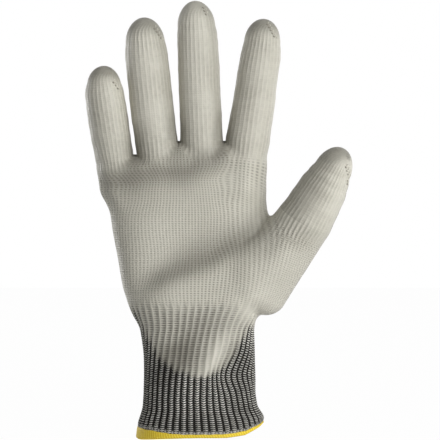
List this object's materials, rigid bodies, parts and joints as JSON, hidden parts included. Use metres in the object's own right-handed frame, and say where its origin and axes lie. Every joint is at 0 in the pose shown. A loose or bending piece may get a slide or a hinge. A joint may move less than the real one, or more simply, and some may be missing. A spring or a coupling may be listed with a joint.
{
  "type": "cut resistant glove",
  "caption": "Knitted cut resistant work glove for the right hand, palm and fingertips dipped in grey coating, ribbed cuff with an overlocked hem.",
  "frame": {"origin": "centre of the wrist opening, in the plane of the hem on which the glove stands", "axes": "+Z from the hem to the fingertips, -Y out of the palm side, +X across the palm towards the thumb"},
  "size_m": [0.1499, 0.0585, 0.2452],
  "materials": {
    "liner": "matte",
    "coating": "satin",
    "coated_fold": "satin",
    "cuff_rib": "matte",
    "hem_thread": "matte",
    "elastic": "matte",
    "closing_thread": "matte"
  },
  "bodies": {
    "cuff": {"hem_overlock": "hem_thread", "cuff_knit": "cuff_rib", "cuff_elastic": "elastic", "cuff_coating": "coating"},
    "hand": {"wrist_fold": "coated_fold", "palm_liner": "liner", "palm_coating": "coating"},
    "little_base": {"little_root_fold": "coated_fold", "little_base_liner": "liner", "little_base_coating": "coating"},
    "little_middle": {"little_middle_fold": "coated_fold", "little_middle_liner": "liner", "little_middle_coating": "coating"},
    "little_tip": {"little_end_fold": "coated_fold", "little_tip_liner": "liner", "little_tip_coating": "coating", "little_tip_closure": "closing_thread"},
    "ring_base": {"ring_root_fold": "coated_fold", "ring_base_liner": "liner", "ring_base_coating": "coating"},
    "ring_middle": {"ring_middle_fold": "coated_fold", "ring_middle_liner": "liner", "ring_middle_coating": "coating"},
    "ring_tip": {"ring_end_fold": "coated_fold", "ring_tip_liner": "liner", "ring_tip_coating": "coating", "ring_tip_closure": "closing_thread"},
    "middle_base": {"middle_root_fold": "coated_fold", "middle_base_liner": "liner", "middle_base_coating": "coating"},
    "middle_middle": {"middle_middle_fold": "coated_fold", "middle_middle_liner": "liner", "middle_middle_coating": "coating"},
    "middle_tip": {"middle_end_fold": "coated_fold", "middle_tip_liner": "liner", "middle_tip_coating": "coating", "middle_tip_closure": "closing_thread"},
    "index_base": {"index_root_fold": "coated_fold", "index_base_liner": "liner", "index_base_coating": "coating"},
    "index_middle": {"index_middle_fold": "coated_fold", "index_middle_liner": "liner", "index_middle_coating": "coating"},
    "index_tip": {"index_end_fold": "coated_fold", "index_tip_liner": "liner", "index_tip_coating": "coating", "index_tip_closure": "closing_thread"},
    "thumb_base": {"thumb_root_fold": "coated_fold", "thumb_base_liner": "liner", "thumb_base_coating": "coating"},
    "thumb_tip": {"thumb_end_fold": "coated_fold", "thumb_tip_liner": "liner", "thumb_tip_coating": "coating", "thumb_tip_closure": "closing_thread"}
  },
  "joints": [
    {"name": "wrist", "type": "hinge", "parent": "cuff", "child": "hand", "pos_m": [0, 0, 0.066], "axis": [1, 0, 0], "range_deg": [-40, 40], "stiffness_Nm_per_rad": 0.15, "deforming": ["wrist_fold"]},
    {"name": "little_root", "type": "hinge", "parent": "hand", "child": "little_base", "pos_m": [-0.0487, -0.003, 0.1595], "axis": [1, 0, 0], "range_deg": [0, 75], "stiffness_Nm_per_rad": 0.012, "deforming": ["little_root_fold"]},
    {"name": "little_knuckle", "type": "hinge", "parent": "little_base", "child": "little_middle", "pos_m": [-0.0511, -0.00393, 0.17721], "axis": [1, 0, 0], "range_deg": [0, 85], "stiffness_Nm_per_rad": 0.008, "deforming": ["little_middle_fold"]},
    {"name": "little_end", "type": "hinge", "parent": "little_middle", "child": "little_tip", "pos_m": [-0.0531, -0.006, 0.19193], "axis": [1, 0, 0], "range_deg": [0, 50], "stiffness_Nm_per_rad": 0.005, "deforming": ["little_end_fold"]},
    {"name": "ring_root", "type": "hinge", "parent": "hand", "child": "ring_base", "pos_m": [-0.0247, -0.003, 0.167], "axis": [1, 0, 0], "range_deg": [0, 75], "stiffness_Nm_per_rad": 0.012, "deforming": ["ring_root_fold"]},
    {"name": "ring_knuckle", "type": "hinge", "parent": "ring_base", "child": "ring_middle", "pos_m": [-0.02697, -0.00424, 0.19071], "axis": [1, 0, 0], "range_deg": [0, 85], "stiffness_Nm_per_rad": 0.008, "deforming": ["ring_middle_fold"]},
    {"name": "ring_end", "type": "hinge", "parent": "ring_middle", "child": "ring_tip", "pos_m": [-0.0291, -0.00737, 0.21293], "axis": [1, 0, 0], "range_deg": [0, 50], "stiffness_Nm_per_rad": 0.005, "deforming": ["ring_end_fold"]},
    {"name": "middle_root", "type": "hinge", "parent": "hand", "child": "middle_base", "pos_m": [0.0008, -0.003, 0.167], "axis": [1, 0, 0], "range_deg": [0, 75], "stiffness_Nm_per_rad": 0.012, "deforming": ["middle_root_fold"]},
    {"name": "middle_knuckle", "type": "hinge", "parent": "middle_base", "child": "middle_middle", "pos_m": [-0.00028, -0.00445, 0.19471], "axis": [1, 0, 0], "range_deg": [0, 85], "stiffness_Nm_per_rad": 0.008, "deforming": ["middle_middle_fold"]},
    {"name": "middle_end", "type": "hinge", "parent": "middle_middle", "child": "middle_tip", "pos_m": [-0.00124, -0.00793, 0.21943], "axis": [1, 0, 0], "range_deg": [0, 50], "stiffness_Nm_per_rad": 0.005, "deforming": ["middle_end_fold"]},
    {"name": "index_root", "type": "hinge", "parent": "hand", "child": "index_base", "pos_m": [0.0269, -0.003, 0.167], "axis": [1, 0, 0], "range_deg": [0, 75], "stiffness_Nm_per_rad": 0.012, "deforming": ["index_root_fold"]},
    {"name": "index_knuckle", "type": "hinge", "parent": "index_base", "child": "index_middle", "pos_m": [0.03002, -0.00424, 0.19071], "axis": [1, 0, 0], "range_deg": [0, 85], "stiffness_Nm_per_rad": 0.008, "deforming": ["index_middle_fold"]},
    {"name": "index_end", "type": "hinge", "parent": "index_middle", "child": "index_tip", "pos_m": [0.03287, -0.0073, 0.21243], "axis": [1, 0, 0], "range_deg": [0, 50], "stiffness_Nm_per_rad": 0.005, "deforming": ["index_end_fold"]},
    {"name": "thumb_root", "type": "hinge", "parent": "hand", "child": "thumb_base", "pos_m": [0.05702, -0.01726, 0.1218], "axis": [0.7829, -0.3345, -0.5246], "range_deg": [0, 45], "stiffness_Nm_per_rad": 0.012, "deforming": ["thumb_root_fold"]},
    {"name": "thumb_end", "type": "hinge", "parent": "thumb_base", "child": "thumb_tip", "pos_m": [0.06641, -0.02131, 0.1384], "axis": [0.7829, -0.3345, -0.5246], "range_deg": [0, 70], "stiffness_Nm_per_rad": 0.005, "deforming": ["thumb_end_fold"]}
  ]
}
